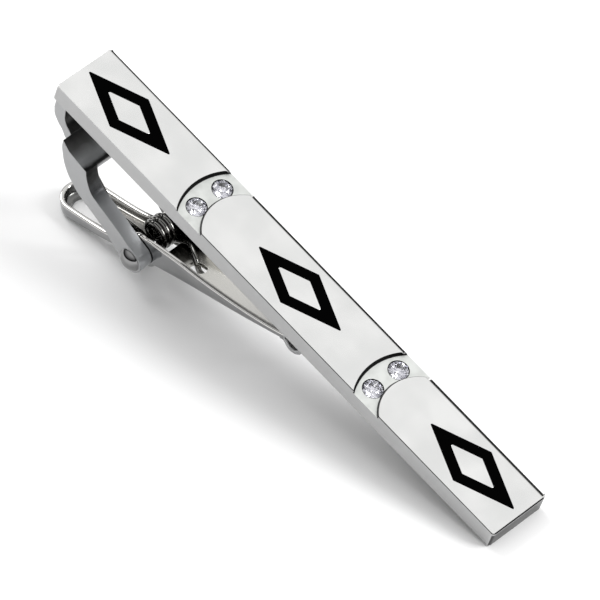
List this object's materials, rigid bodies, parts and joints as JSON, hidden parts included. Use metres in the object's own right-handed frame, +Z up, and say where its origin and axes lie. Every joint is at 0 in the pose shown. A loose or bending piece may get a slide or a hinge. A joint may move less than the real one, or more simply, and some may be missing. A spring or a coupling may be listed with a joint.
{
  "type": "tie clip",
  "caption": "Long bar with raised front plates, enamel lozenges and small round stones, over a riveted spring lever that grips cloth against its back.",
  "frame": {"origin": "centre of the footprint, on the surface the closed clip lies on, resting on its thumb loop and on the lower edge of the bar's right end", "axes": "+X along the bar towards its free right end, +Y across the bar towards its far edge, +Z up; the front face looks up, tilted 16.43 degrees towards +X"},
  "size_m": [0.0598, 0.0092, 0.019],
  "materials": {
    "satin_steel": "satin",
    "polished_steel": "polished",
    "spring_steel": "bright drawn wire",
    "black_enamel": "gloss",
    "clear_stone": "brilliant cut"
  },
  "bodies": {
    "frame": {"bar_body": "satin_steel", "front_panel_left": "polished_steel", "front_panel_middle": "polished_steel", "front_panel_right": "polished_steel", "enamel_left": "black_enamel", "enamel_middle": "black_enamel", "enamel_right": "black_enamel", "crystal_left_near": "clear_stone", "crystal_left_far": "clear_stone", "crystal_right_near": "clear_stone", "crystal_right_far": "clear_stone", "hinge_bracket": "satin_steel", "pivot_rivet": "polished_steel", "torsion_spring": "spring_steel"},
    "lever": {"clip_lever": "polished_steel"}
  },
  "joints": [
    {"name": "lever_pivot", "type": "hinge", "parent": "frame", "child": "lever", "pos_m": [-0.01734, 0, 0.00327], "axis": [0, 1, 0], "range_deg": [0, 28], "stiffness_Nm_per_rad": 0.003, "springref_deg": -25.78, "deforming": ["torsion_spring"]}
  ]
}
